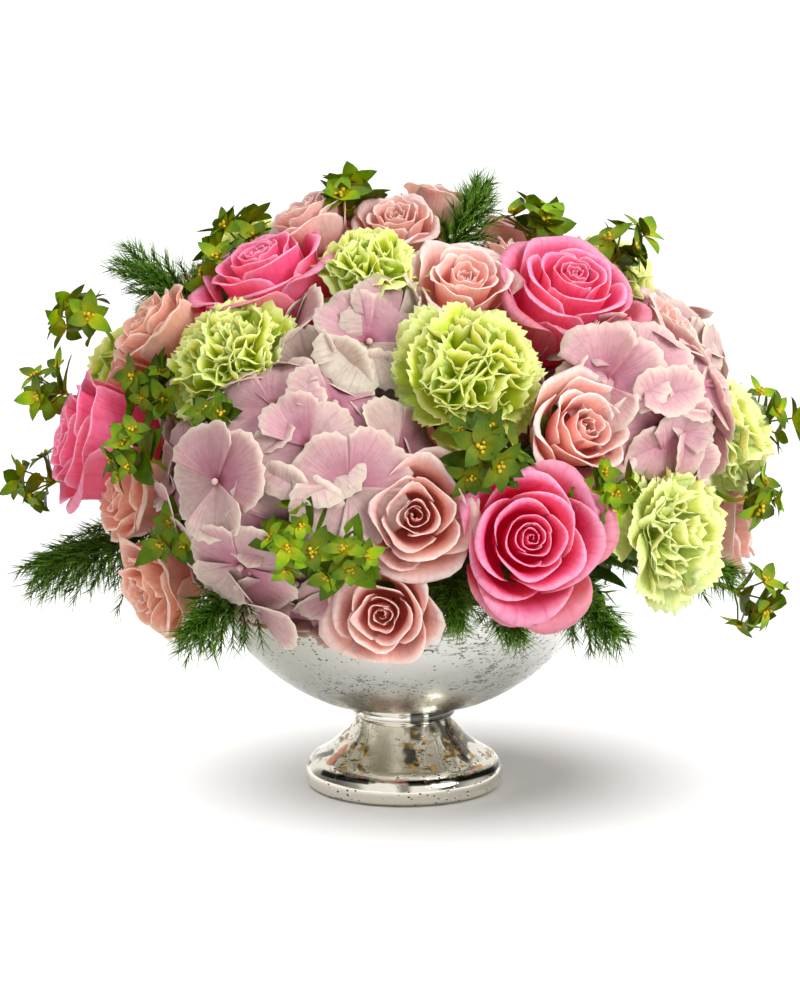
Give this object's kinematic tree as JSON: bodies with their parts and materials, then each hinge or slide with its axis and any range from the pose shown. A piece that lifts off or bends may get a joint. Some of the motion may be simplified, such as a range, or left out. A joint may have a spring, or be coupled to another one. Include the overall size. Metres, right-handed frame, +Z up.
{
  "type": "floral table centerpiece",
  "caption": "Low domed arrangement of roses, carnations, hydrangea and greens, cut stems set in wet foam in a footed bowl of silvered glass.",
  "frame": {"origin": "on the table under the middle of the bowl's foot", "axes": "+Z up, -Y towards the front of the arrangement, +X to its right"},
  "size_m": [0.3848, 0.335, 0.3167],
  "materials": {
    "silvered_glass": "satin",
    "floral_foam": "matte",
    "anchor_tape": "satin",
    "pink_rose_petal": "matte",
    "spray_rose_petal": "matte",
    "carnation_petal": "matte",
    "hydrangea_sepal": "matte",
    "bupleurum_green": "matte",
    "fern_green": "matte"
  },
  "bodies": {
    "root": {"anchor_tape": "anchor_tape", "bupleurum_back_left": "bupleurum_green", "bupleurum_back_right": "bupleurum_green", "bupleurum_crown": "bupleurum_green", "bupleurum_drooping": "bupleurum_green", "bupleurum_far_left": "bupleurum_green", "bupleurum_far_right": "bupleurum_green", "bupleurum_front": "bupleurum_green", "bupleurum_low_left": "bupleurum_green", "bupleurum_mid_left": "bupleurum_green", "bupleurum_mid_right": "bupleurum_green", "bupleurum_middle": "bupleurum_green", "bupleurum_top_left": "bupleurum_green", "bupleurum_top_right": "bupleurum_green", "bupleurum_upper_left": "bupleurum_green", "carnation_back_low": "carnation_petal", "carnation_back_mid": "carnation_petal", "carnation_back_right": "carnation_petal", "carnation_back_top": "carnation_petal", "carnation_left": "carnation_petal", "carnation_lower_right": "carnation_petal", "carnation_middle": "carnation_petal", "carnation_right": "carnation_petal", "carnation_top": "carnation_petal", "carnation_upper_left": "carnation_petal", "fern_back_left": "fern_green", "fern_back_right": "fern_green", "fern_crown": "fern_green", "fern_front": "fern_green", "fern_front_right": "fern_green", "fern_left": "fern_green", "fern_low_left": "fern_green", "fern_low_right": "fern_green", "fern_right": "fern_green", "fern_top_left": "fern_green", "floral_foam": "floral_foam", "glass_bowl": "silvered_glass", "hydrangea_back_left": "hydrangea_sepal", "hydrangea_back_right": "hydrangea_sepal", "hydrangea_front": "hydrangea_sepal", "hydrangea_right": "hydrangea_sepal", "hydrangea_top": "hydrangea_sepal", "pink_rose_back_left": "pink_rose_petal", "pink_rose_back_right": "pink_rose_petal", "pink_rose_back_top": "pink_rose_petal", "pink_rose_front": "pink_rose_petal", "pink_rose_left": "pink_rose_petal", "pink_rose_top_left": "pink_rose_petal", "pink_rose_top_right": "pink_rose_petal", "spray_rose_back": "spray_rose_petal", "spray_rose_back_left": "spray_rose_petal", "spray_rose_crown_left": "spray_rose_petal", "spray_rose_crown_right": "spray_rose_petal", "spray_rose_front": "spray_rose_petal", "spray_rose_lower_left": "spray_rose_petal", "spray_rose_lower_right": "spray_rose_petal", "spray_rose_mid_right": "spray_rose_petal", "spray_rose_upper_front": "spray_rose_petal", "spray_rose_upper_left": "spray_rose_petal", "spray_rose_upper_right": "spray_rose_petal"}
  },
  "joints": []
}
